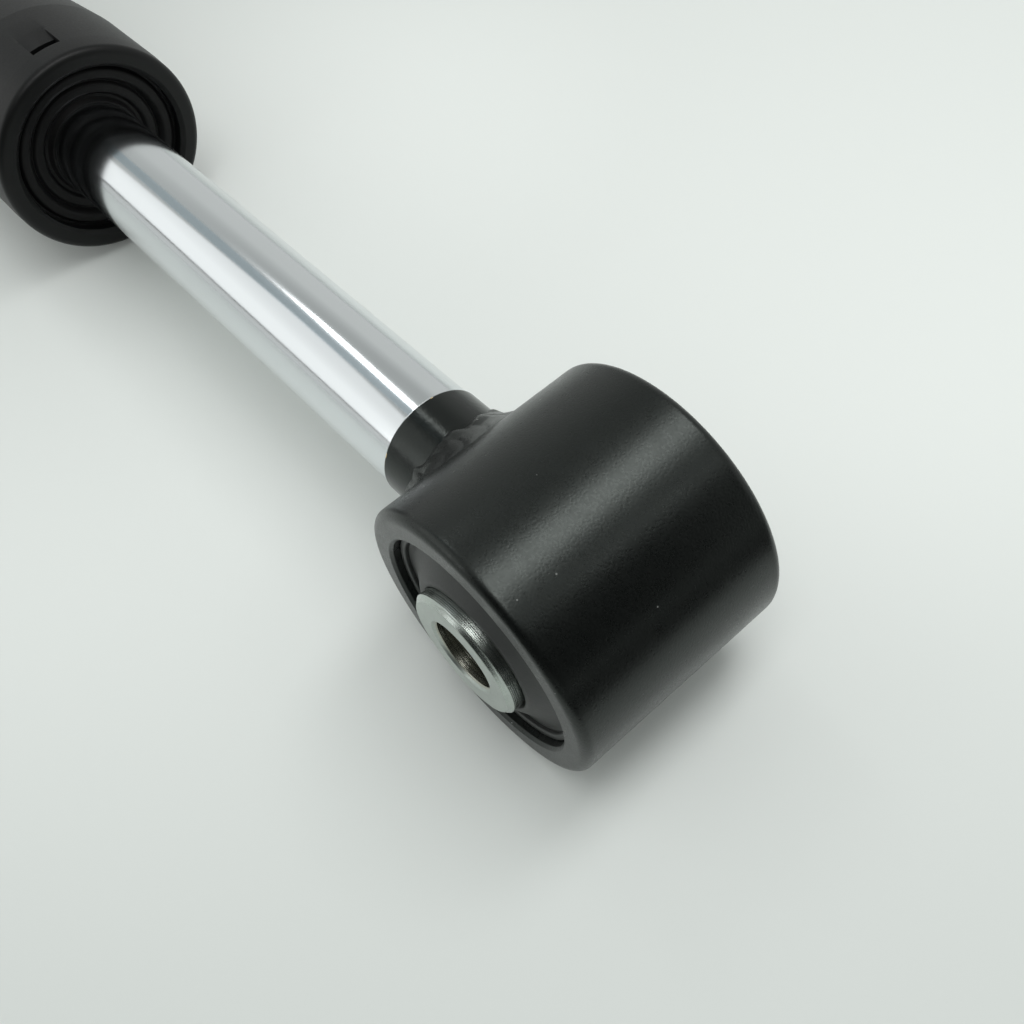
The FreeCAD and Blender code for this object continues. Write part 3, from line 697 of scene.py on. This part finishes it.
class GASSPRING_OT_eye_rings(bpy.types.Operator):
    """Turn the painted ring of each eye"""

    bl_idname = "gas_spring.eye_rings"
    bl_label = "Eye rings"

    def execute(self, context):
        settings = context.scene.gas_spring
        eye = settings.eye
        paint = shared_paint(settings.finish)
        for end in ENDS:
            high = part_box(f"{end}_eye_ring")[1]
            radius, half = high.z, high.y
            bore = radius - eye.wall
            turn_in_eye(end, "ring", paint, (
                (half - eye.mouth_bevel, bore, eye.paint_round),
                (half, bore + eye.mouth_bevel, eye.paint_round),
                (half, radius, eye.edge_round),
            ))
        return {"FINISHED"}


class GASSPRING_OT_bushes(bpy.types.Operator):
    """Turn the shell, rubber and sleeve of each bush"""

    bl_idname = "gas_spring.bushes"
    bl_label = "Rubber bushes"

    def execute(self, context):
        settings = context.scene.gas_spring
        for end in ENDS:
            self.make_shell(end, settings)
            self.make_rubber(end, settings)
            self.make_sleeve(end, settings)
        return {"FINISHED"}

    def make_shell(self, end, settings):
        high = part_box(f"{end}_bush_shell")[1]
        inner = high.z - settings.eye.shell_wall
        steel = finish_named("phosphated_steel", shell_finish, settings.finish)
        turn_in_eye(end, "shell", steel, (
            (high.y, inner, settings.eye.shell_round),
            (high.y, high.z, settings.eye.shell_round),
        ))

    def make_rubber(self, end, settings):
        eye = settings.eye
        outer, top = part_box(f"{end}_bush_rubber")[1].zy
        shell_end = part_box(f"{end}_bush_shell")[1].y
        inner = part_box(f"{end}_bush_sleeve")[1].z + eye.bond
        moat = shell_end - eye.dish
        sag = moat + SAG_SHARE * (top - moat)
        middle = (inner + eye.lip + outer - eye.moat) / 2
        rubber = rubber_named("bush_rubber_moulded", settings.finish.rubber, 0.40, 1.5)
        turn_in_eye(end, "rubber", rubber, (
            (top - eye.lip_gap_depth, inner, 0),
            (top, inner, eye.lip * 0.2),
            (top, inner + eye.lip, eye.lip * 0.9),
            (sag, middle, SAG_ROUND),
            (moat, outer - eye.moat, eye.moat * 0.6),
            (moat, outer, 0),
        ), shape=self.lip_gap(inner, top - eye.lip_gap_depth, eye))

    def lip_gap(self, inner, floor, eye):
        """The lip stands a little off the sleeve, more on one side than on the other."""

        def shape(along, radius, turn):
            rise = np.clip((np.abs(along) - floor) / eye.lip_gap_depth, 0, 1)
            near = np.clip(1 - (radius - inner) / eye.lip, 0, 1)
            gap = eye.lip_gap * (GAP_MEAN + GAP_SWING * np.cos(turn + GAP_ANGLE))
            return along, radius + gap * rise * near

        return shape

    def make_sleeve(self, end, settings):
        eye = settings.eye
        radius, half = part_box(f"{end}_bush_sleeve")[1].zy
        zinc = zinc_finish(settings.finish, (eye_centre_x(end), 0, 0), radius)
        turn_in_eye(end, "sleeve", zinc, (
            (half - eye.bore_bevel, BORE_RADIUS, eye.sleeve_round),
            (half, BORE_RADIUS + eye.bore_bevel, eye.sleeve_round),
            (half, radius - eye.sleeve_bevel, eye.sleeve_round),
            (half - eye.sleeve_bevel, radius, eye.sleeve_round),
        ))


class GASSPRING_OT_rod(bpy.types.Operator):
    """Turn the chromed rod and its painted collar"""

    bl_idname = "gas_spring.rod"
    bl_label = "Rod and collar"

    def execute(self, context):
        settings = context.scene.gas_spring
        sizes = settings.rod
        low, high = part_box("piston_rod")
        collar_low, collar_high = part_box("rod_collar")
        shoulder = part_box("piston_front_washer")[1].x
        stud, piston_stud = sizes.stud / 2, sizes.piston_stud / 2
        turn_piece("chromed_rod", "piston_rod", chrome_finish(settings.finish), (
            (low.x, 0, 0),
            (low.x, piston_stud, sizes.bevel),
            (shoulder, piston_stud, FINE_ROUND),
            (shoulder, high.z, sizes.bevel),
            (collar_low.x, high.z, FINE_ROUND),
            (collar_low.x, stud, FINE_ROUND),
            (high.x, stud, FINE_ROUND),
            (high.x, 0, 0),
        ), closed=False)
        eye_x = eye_centre_x("rod")
        turn_piece("painted_collar", "rod_collar", collar_finish(settings.finish, collar_low.x), (
            (collar_low.x, stud, 0),
            (collar_low.x, collar_high.z, sizes.collar_round),
            (eye_x, collar_high.z, 0),
            (eye_x, stud, 0),
        ), shape=saddle_at(eye_x, -1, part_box("rod_eye_ring")[1].z))
        return {"FINISHED"}


class GASSPRING_OT_tube(bpy.types.Operator):
    """Turn the painted tube and the plug that closes it"""

    bl_idname = "gas_spring.tube"
    bl_label = "Tube and base plug"

    def execute(self, context):
        settings = context.scene.gas_spring
        sizes = settings.rod
        paint = shared_paint(settings.finish)
        low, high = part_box("pressure_tube")
        bore = high.z - sizes.tube_wall
        guide_end = high.x - sizes.tube_wall
        bead_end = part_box("seal_washer")[0].x
        bead_start = bead_end - sizes.bead_width
        flank = sizes.bead_width / 3
        soft = 0.6 * MM

        def groove(radius):
            """Corners of the rolled groove, outside or in the bore."""
            floor = radius - sizes.bead_depth
            return ((bead_start, radius, soft), (bead_start + flank, floor, soft),
                    (bead_end - flank, floor, soft), (bead_end, radius, soft))

        turn_piece("painted_tube", "pressure_tube", paint, (
            (low.x, bore, 0),
            (low.x, high.z, 0.4 * MM),
            *groove(high.z),
            (high.x, high.z, sizes.lip_round),
            (high.x, bore - sizes.tube_lip, 0.2 * MM),
            (guide_end, bore - sizes.tube_lip, 0),
            (guide_end, bore, 0),
            *reversed(groove(bore)),
        ))
        self.make_plug(sizes, paint, low.x, high.z, bore)
        return {"FINISHED"}

    def make_plug(self, sizes, paint, tube_start, tube_radius, bore):
        eye_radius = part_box("base_eye_ring")[1].z
        flange = eye_radius + sizes.neck_length
        neck = sizes.neck / 2
        turn_piece("painted_plug", "base_plug", paint, (
            (0, 0, 0),
            (0, neck, 0),
            (flange, neck, 1.0 * MM),
            (flange, tube_radius, 1.5 * MM),
            (tube_start, tube_radius, 0.4 * MM),
            (tube_start, bore, FINE_ROUND),
            (tube_start + sizes.spigot, bore, 0.8 * MM),
            (tube_start + sizes.spigot, 0, 0),
        ), closed=False, shape=saddle_at(0, 1, eye_radius))


class GASSPRING_OT_end_cap(bpy.types.Operator):
    """Turn the moulded cap with its lanced tabs, and the wiper in its mouth"""

    bl_idname = "gas_spring.end_cap"
    bl_label = "End cap and wiper"

    def execute(self, context):
        settings = context.scene.gas_spring
        self.make_cap(settings)
        self.make_wiper(settings)
        return {"FINISHED"}

    def make_cap(self, settings):
        cap = settings.cap
        low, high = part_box("end_cap")
        tube_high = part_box("pressure_tube")[1]
        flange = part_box("wiper_seal")[1].z
        mouth = flange - cap.mouth_lip
        seat = tube_high.z
        shoulder = tube_high.x + cap.wiper_flange
        turn_piece("moulded_cap", "end_cap", cap_finish(settings.finish), (
            (low.x, seat, FINE_ROUND),
            (low.x, seat + cap.tail_wall, 0.3 * MM),
            (high.x - cap.skirt, high.z, 4 * MM),
            (high.x - cap.skirt + cap.tab_slot, high.z, 0),
            *self.tab_stations(high, cap),
            (high.x - cap.tab_setback + 0.5 * MM, high.z, 0),
            (high.x, high.z - cap.draft, cap.edge_round),
            (high.x, mouth + cap.mouth_bevel, 0.3 * MM),
            (high.x - cap.mouth_bevel, mouth, 0.3 * MM),
            (shoulder, mouth, FINE_ROUND),
            (shoulder, flange, FINE_ROUND),
            (tube_high.x, flange, FINE_ROUND),
            (tube_high.x, seat, FINE_ROUND),
        ), shape=self.tab_shape(high, cap), angles=self.tab_angles(high, cap))

    def tab_layout(self, high, cap):
        """Front and back of the tabs' slots, half a tab's angle, and the angle from tab to tab."""
        front = high.x - cap.tab_setback
        return front, front - cap.tab_slot, cap.tab_width / 2 / high.z, TURN / cap.tabs

    def tab_stations(self, high, cap):
        """Places along the skirt where a tab begins, bends and ends."""
        front, back, _, _ = self.tab_layout(high, cap)
        ramp = np.linspace(back - cap.tab_ramp, back, RAMP_STEPS)
        places = [*ramp, back + LANCED_EDGE, front - LANCED_EDGE, front]
        return [(station, high.z, 0) for station in places]

    def tab_angles(self, high, cap):
        """Angles round the cap, close together at the sides of each tab."""
        _, _, half, pitch = self.tab_layout(high, cap)
        side = half + LANCED_EDGE / high.z
        tab = [-side, *np.linspace(-half, half, TAB_STEPS), side]
        plain = np.linspace(side, pitch - side, SEGMENTS // cap.tabs)[1:-1]
        return np.concatenate([
            TURN / 4 + number * pitch + np.array([*tab, *plain]) for number in range(cap.tabs)
        ])

    def tab_shape(self, high, cap):
        """Slot in front of each tab, and the ramp behind it that rises to the skirt."""
        front, back, half, pitch = self.tab_layout(high, cap)

        def shape(along, radius, turn):
            off = np.abs((turn - TURN / 4 + pitch / 2) % pitch - pitch / 2)
            inside = (off < half + SLACK) & (along < front - SLACK) & (radius > high.z - SKIN)
            ramp = np.clip(1 - (back - along) / cap.tab_ramp, 0, 1) * cap.tab_drop
            deep = np.where(along > back + SLACK, cap.tab_depth, ramp)
            return along, np.where(inside, radius - deep, radius)

        return shape

    def make_wiper(self, settings):
        cap = settings.cap
        low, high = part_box("wiper_seal")
        rod_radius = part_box("piston_rod")[1].z
        face = low.x + cap.wiper_flange
        rim = high.z - cap.mouth_lip - cap.wiper_gap
        rib_top = rim - cap.wiper_gap
        lip_top = rod_radius + cap.lip_width
        rib_width = (rib_top - lip_top - cap.rib_land - cap.rib_gap) / 2
        second = rib_top - rib_width - cap.rib_gap
        inner_face = face - cap.rib_step
        turn_piece("wiper_face", "wiper_seal", seal_rubber(settings.finish), (
            (low.x, rod_radius, 0),
            (low.x, high.z, 0.2 * MM),
            (face, high.z, 0.2 * MM),
            *self.rib(face, rib_top, rib_width, cap.rib_height),
            *self.rib(inner_face, second, rib_width, cap.rib_height),
            (inner_face, lip_top, 0.15 * MM),
            (low.x + cap.lip_reach, rod_radius + 0.3 * MM, 0.12 * MM),
            (low.x + cap.lip_reach, rod_radius, 0.05 * MM),
        ))

    def rib(self, face, top, width, height):
        """Corners of a round rib on a face, from its outer to its inner foot."""
        soft = 0.15 * MM
        return (
            (face, top, soft),
            (face + height, top - width * RIB_SHOULDER, width * RIB_ROUND),
            (face + height, top - width * (1 - RIB_SHOULDER), width * RIB_ROUND),
            (face, top - width, soft),
        )


class GASSPRING_OT_welds(bpy.types.Operator):
    """Lay the rippled weld beads at both eyes and round the base"""

    bl_idname = "gas_spring.welds"
    bl_label = "Weld beads"

    def execute(self, context):
        settings = context.scene.gas_spring
        weld = settings.weld
        paint = shared_paint(settings.finish)
        tree = bead_tree()

        def lay(name, node, matrix, neck, number, sizes):
            mesh = bead_mesh(name, tree, {
                **sizes, "Neck Radius": neck, "Ripple": weld.ripple, "Sink": weld.sink, "Root": weld.root,
                "Ripples": round(TURN * neck / weld.pitch), "Seed": weld.seed + number, "Paint": paint})
            mesh.transform(matrix)
            place_piece(name, mesh, paint, node)

        necks = {"base": settings.rod.neck / 2, "rod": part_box("rod_collar")[1].z}
        turns = {"base": 0, "rod": math.pi}
        for number, end in enumerate(ENDS):
            turn = Matrix.Rotation(turns[end], 4, "Z")
            matrix = Matrix.Translation((eye_centre_x(end), 0, 0)) @ turn
            lay(f"{end}_end_bead", f"{end}_eye_weld", matrix, necks[end], number, {
                "Eye Radius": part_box(f"{end}_eye_ring")[1].z, "Saddle": 1.0, "Leg": weld.leg,
                "Throat": weld.throat, "Lap": weld.lap})
        low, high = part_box("base_weld")
        tube_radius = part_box("pressure_tube")[1].z
        matrix = Matrix.Translation(((low.x + high.x) / 2, 0, 0))
        lay("seam_bead", "base_weld", matrix, tube_radius, len(ENDS), {
            "Eye Radius": tube_radius, "Saddle": 0.0, "Leg": weld.seam_leg,
            "Throat": weld.seam_crown, "Lap": 0.0})
        return {"FINISHED"}


def bead_tree():
    """Node tree of a weld bead round a neck that leaves an eye at the origin along +X.

    A grid is rolled up along the joint: its length runs round the neck, and its width from the
    buried root over the bead and back to the root. Without the saddle, the bead is a plain ring.
    """
    tree = bpy.data.node_groups.new("Weld bead", "GeometryNodeTree")
    for name in ("Neck Radius", "Eye Radius", "Saddle", "Leg", "Throat", "Ripple", "Lap", "Sink", "Root"):
        tree.interface.new_socket(name, in_out="INPUT", socket_type="NodeSocketFloat")
    for name in ("Ripples", "Seed"):
        tree.interface.new_socket(name, in_out="INPUT", socket_type="NodeSocketInt")
    tree.interface.new_socket("Paint", in_out="INPUT", socket_type="NodeSocketMaterial")
    tree.interface.new_socket("Geometry", in_out="OUTPUT", socket_type="NodeSocketGeometry")
    graph = Graph(tree)
    group = tree.nodes.new("NodeGroupInput")
    value = {output.name: Wire(graph, output) for output in group.outputs}
    neck, eye, saddle, leg = (value[name] for name in ("Neck Radius", "Eye Radius", "Saddle", "Leg"))
    grid = graph.node("GeometryNodeMeshGrid", sockets={
        "Size X": 1.0, "Size Y": 1.0, "Vertices X": BEAD_STEPS, "Vertices Y": BEAD_ROWS})
    grid_x, grid_y, _ = graph.parts(graph.node("GeometryNodeInputPosition"))
    way_round, way_across = grid_x + 0.5, grid_y + 0.5
    turn = way_round * TURN
    side, up = turn.math("COSINE", turn), turn.math("SINE", turn)

    def uneven(scale, layer):
        """Noise that closes on itself round the neck."""
        return graph.node("ShaderNodeTexNoise", {"noise_dimensions": "4D"}, {
            "Vector": graph.joined(side, up, way_across * 0.3), "W": value["Seed"] + layer,
            "Scale": scale, "Detail": 0.6})

    # Where the bead's toes lie, in the plane through the neck's axis, and which way it faces there.
    root_depth = neck * up
    root_x = saddle * (eye * eye - root_depth * root_depth) ** 0.5
    neck_toe = root_x + leg * (0.55 + 0.9 * uneven(3.0, 0))
    eye_reach = leg * (0.65 + 0.7 * uneven(3.0, 1))
    eye_toe_r = neck + saddle * eye_reach
    eye_toe_depth = eye_toe_r * up
    eye_toe_x = saddle * (eye * eye - eye_toe_depth * eye_toe_depth) ** 0.5 - (1 - saddle) * eye_reach
    slope = saddle * eye_toe_depth * up / eye_toe_x
    steep = (1 + slope * slope) ** 0.5
    normal_x, normal_r = saddle / steep, (saddle * slope + 1 - saddle) / steep
    spread = (normal_x * normal_x + (1 + normal_r) * (1 + normal_r)) ** 0.5
    out_x, out_r = normal_x / spread, (1 + normal_r) / spread

    def kept(wire):
        """A value held between 0 and 1."""
        return graph.node("ShaderNodeClamp", sockets={"Value": wire})

    over = kept((way_across - HIDDEN_SHARE) / (1 - 2 * HIDDEN_SHARE))
    rest = 1 - over

    def curve(first, middle, last):
        return rest * rest * first + 2 * rest * over * middle + over * over * last

    # Ripples that bow along the weld, and a lip where the metal ran cold on the neck.
    bow = (2 * over - 1) * (2 * over - 1)
    phase = (value["Ripples"] * way_round + bow * 0.5 + uneven(1.8, 2) * 1.6) * math.pi
    wave = phase.math("ABSOLUTE", phase.math("SINE", phase))
    lip = kept(over * 9) * kept((0.42 - over) * 4)
    ripple = value["Ripple"] * wave * (4 * over * rest) ** 0.5
    lift = ripple + value["Lap"] * lip * kept(uneven(2.2, 3) * 4 - 1.6)
    throat, sink = value["Throat"], value["Sink"]
    bead_x = curve(neck_toe, root_x + out_x * throat, eye_toe_x - normal_x * sink)
    bead_x = bead_x + normal_x * over * lift
    bead_r = curve(neck - sink, neck + out_r * throat, eye_toe_r - normal_r * sink)
    bead_r = bead_r + (rest + normal_r * over) * lift
    buried = kept(1 - way_across / HIDDEN_SHARE) + kept((way_across - 1) / HIDDEN_SHARE + 1)
    place_x = bead_x + buried * (root_x - out_x * value["Root"] - bead_x)
    place_r = bead_r + buried * (neck - out_r * value["Root"] - bead_r)
    skin = graph.node("GeometryNodeSetPosition", sockets={
        "Geometry": grid, "Position": graph.joined(place_x, place_r * side, place_r * up)})
    skin = graph.node("GeometryNodeMergeByDistance", sockets={
        "Geometry": skin, "Distance": MERGE_DISTANCE})
    skin = graph.node("GeometryNodeRealizeInstances", sockets={"Geometry": skin})
    skin = graph.node("GeometryNodeSetMaterial", sockets={"Geometry": skin, "Material": value["Paint"]})
    graph.fill(tree.nodes.new("NodeGroupOutput"), {"Geometry": skin})
    return tree


def bead_mesh(name, tree, inputs):
    """Run the bead tree with its inputs and keep the result as a plain mesh."""
    holder = bpy.data.objects.new(name, bpy.data.meshes.new(name))
    bpy.context.scene.collection.objects.link(holder)
    modifier = holder.modifiers.new("Weld bead", "NODES")
    modifier.node_group = tree
    for item in tree.interface.items_tree:
        if item.in_out == "INPUT":
            modifier[item.identifier] = inputs[item.name]
    graph = bpy.context.evaluated_depsgraph_get()
    mesh = bpy.data.meshes.new_from_object(holder.evaluated_get(graph))
    bpy.data.objects.remove(holder)
    if len(mesh.polygons) == 0:
        raise RuntimeError(f"{name} came out empty")
    seal(mesh)
    return mesh


class GASSPRING_OT_inner_pieces(bpy.types.Operator):
    """Give the pieces inside the tube their own finishes"""

    bl_idname = "gas_spring.inner_pieces"
    bl_label = "Inner pieces"

    def execute(self, context):
        tones = context.scene.gas_spring.finish
        finishes = {
            "plain_steel": machined_finish("machined_steel", tones.steel, 1.0, 0.24),
            "alloy": machined_finish("machined_alloy", tones.alloy, 1.0, 0.22),
            "bearing_bronze": machined_finish("bearing_bronze", tones.bronze, 1.0, 0.30),
            "ring_plastic": machined_finish("slide_ring_plastic", tones.ring, 0.0, 0.42),
            "seal_rubber": seal_rubber(tones),
        }
        for name, node in frame["nodes"].items():
            if not node.hide_render:
                for slot in node.material_slots:
                    slot.material = finishes[SLOT_OF[name]]
        return {"FINISHED"}


class GASSPRING_OT_stage(bpy.types.Operator):
    """Lay the floor, hang the lights and set up the camera"""

    bl_idname = "gas_spring.stage"
    bl_label = "Stage"

    def execute(self, context):
        stage = context.scene.gas_spring.stage
        context.scene.view_settings.view_transform = "Standard"
        self.lay_floor(context, stage)
        self.hang_lights(context, stage)
        self.set_world(context, stage)
        self.set_camera(context, stage)
        return {"FINISHED"}

    def lay_floor(self, context, stage):
        level = CAD_BOX[0][2]
        finish = Finish("pale_table_top", Roughness=0.62, IOR=1.45)

        def distance(x, y):
            return finish.vector("DISTANCE", finish.place, (x, y, level), output="Value")

        cloud = finish.noise(6, detail=2)
        # Painted shade: the table top's colour darkens in a band towards the viewer, with an uneven edge.
        towards = finish.vector("DOT_PRODUCT", finish.place, TO_VIEWER, output="Value")
        painted_shade = finish.band(towards + cloud * PAINTED_SHADE_CLOUD, *PAINTED_SHADE_BAND)
        tone = finish.blend(painted_shade, stage.floor, stage.floor_near)
        # Painted light: the table top is painted lighter in a round patch beside the cap.
        beside = distance(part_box("end_cap")[1].x + PAINTED_LIGHT_AT[0], PAINTED_LIGHT_AT[1])
        tone = finish.blend(finish.band(beside, *PAINTED_LIGHT_BAND), stage.floor_beside, tone)
        far = finish.band(distance(eye_centre_x("rod"), 0), *FAR_BAND)
        finish.feed(Base_Color=finish.blend(far, tone, stage.floor_far))
        matrix = Matrix.Translation((0, 0, level)) @ Matrix.Diagonal((FLOOR_SIZE, FLOOR_SIZE, 1, 1))
        floor = self.panel(context, "table_top", matrix, finish.material)

    def panel(self, context, name, matrix, material):
        """A flat square that a matrix brings to its size and place."""
        work = bmesh.new()
        bmesh.ops.create_grid(work, x_segments=1, y_segments=1, size=0.5)
        mesh = bpy.data.meshes.new(name)
        work.to_mesh(mesh)
        work.free()
        mesh.transform(matrix)
        mesh.materials.append(material)
        panel = bpy.data.objects.new(name, mesh)
        context.scene.collection.objects.link(panel)
        return panel

    def hang_lights(self, context, stage):
        """Hang the lamps and windows, with the cards round them."""
        eye = Vector((eye_centre_x("rod"), 0, 0))
        starts = {"eye": eye, "rod": Vector((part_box("end_cap")[1].x + eye.x, 0, 0)) / 2}
        for name, (origin, *_, down) in PANELS.items():
            offset = Vector(getattr(stage, f"{name}_place"))
            facing = self.looking(starts[origin] + offset, Vector((0, 0, -1)) if down else -offset)
            size = getattr(stage, f"{name}_size")
            if name in LAMPS:
                turn = Matrix.Rotation(getattr(stage, f"{name}_turn"), 4, "Z")
                self.lamp(context, name, facing @ turn, size, getattr(stage, f"{name}_power"))
            else:
                tone = stage.ceiling if name == "grey_ceiling" else stage.dark
                self.card(context, name, facing @ Matrix.Diagonal((*size, 1, 1)), tone)

    def looking(self, stand, way):
        """The matrix of a panel or camera that stands at a place and looks along a way."""
        return Matrix.Translation(stand) @ way.to_track_quat("-Z", "Y").to_matrix().to_4x4()

    def lamp(self, context, name, matrix, size, watts):
        """A soft rectangular light."""
        light = bpy.data.lights.new(name, "AREA")
        light.shape = "RECTANGLE"
        light.size, light.size_y = size
        light.energy = watts
        lamp = bpy.data.objects.new(name, light)
        lamp.matrix_world = matrix
        context.scene.collection.objects.link(lamp)

    def card(self, context, name, matrix, tone):
        """A card that only the shiny pieces mirror; it throws no shadow."""
        card = self.panel(context, name, matrix, card_finish(f"{name}_card", tone))
        card.visible_camera = card.visible_diffuse = card.visible_shadow = False

    def set_world(self, context, stage):
        world = bpy.data.worlds.new("pale_room")
        context.scene.world = world
        world.use_nodes = True
        graph = Graph(world.node_tree)
        camera = graph.node("ShaderNodeLightPath", output="Is Camera Ray")
        rise = graph.parts(graph.node("ShaderNodeTexCoord", output="Generated"))[2]
        room = graph.node("ShaderNodeValToRGB", sockets={"Fac": rise})
        ramp = room.socket.node.color_ramp.elements
        stops = ((0.0, stage.wall_foot), (WALL_FROM, stage.wall), (WALL_TO, stage.wall),
                 (OVERHEAD_FROM, stage.overhead))
        while len(ramp) < len(stops):
            ramp.new(1)
        for element, (position, tone) in zip(ramp, stops):
            element.position, element.color = position, rgba(tone)
        tone = graph.blend(camera, room, stage.backdrop)
        graph.fill(world.node_tree.nodes["Background"], {"Color": tone})

    def set_camera(self, context, stage):
        data = bpy.data.cameras.new("photo_view")
        data.lens = stage.camera_lens
        data.clip_start = 10 * MM
        camera = bpy.data.objects.new("photo_view", data)
        stand, aim = Vector(stage.camera_place), Vector(stage.camera_aim)
        roll = Matrix.Rotation(stage.camera_roll, 4, "Z")
        camera.matrix_world = self.looking(stand, aim - stand) @ roll
        context.scene.collection.objects.link(camera)
        context.scene.camera = camera


OPERATORS = (
    GASSPRING_OT_eye_rings, GASSPRING_OT_bushes, GASSPRING_OT_rod, GASSPRING_OT_tube, GASSPRING_OT_end_cap,
    GASSPRING_OT_welds, GASSPRING_OT_inner_pieces, GASSPRING_OT_stage,
)


class GASSPRING_PT_sidebar(bpy.types.Panel):
    """Lists the steps that dress the gas spring"""

    bl_idname = "GASSPRING_PT_sidebar"
    bl_label = "Gas spring"
    bl_space_type = "VIEW_3D"
    bl_region_type = "UI"
    bl_category = "Gas spring"

    def draw(self, context):
        for operator in OPERATORS:
            self.layout.operator(operator.bl_idname)


CLASSES = (
    GASSPRING_PG_eye, GASSPRING_PG_weld, GASSPRING_PG_rod, GASSPRING_PG_cap, GASSPRING_PG_finish,
    GASSPRING_PG_stage, GASSPRING_PG_settings, *OPERATORS, GASSPRING_PT_sidebar,
)


def register():
    for item in CLASSES:
        bpy.utils.register_class(item)
    bpy.types.Scene.gas_spring = PointerProperty(type=GASSPRING_PG_settings)


def unregister():
    del bpy.types.Scene.gas_spring
    for item in reversed(CLASSES):
        bpy.utils.unregister_class(item)


def main():
    register()
    bpy.ops.gas_spring.eye_rings()
    bpy.ops.gas_spring.bushes()
    bpy.ops.gas_spring.rod()
    bpy.ops.gas_spring.tube()
    bpy.ops.gas_spring.end_cap()
    bpy.ops.gas_spring.welds()
    bpy.ops.gas_spring.inner_pieces()
    bpy.ops.gas_spring.stage()


if __name__ == "__main__":
    main()
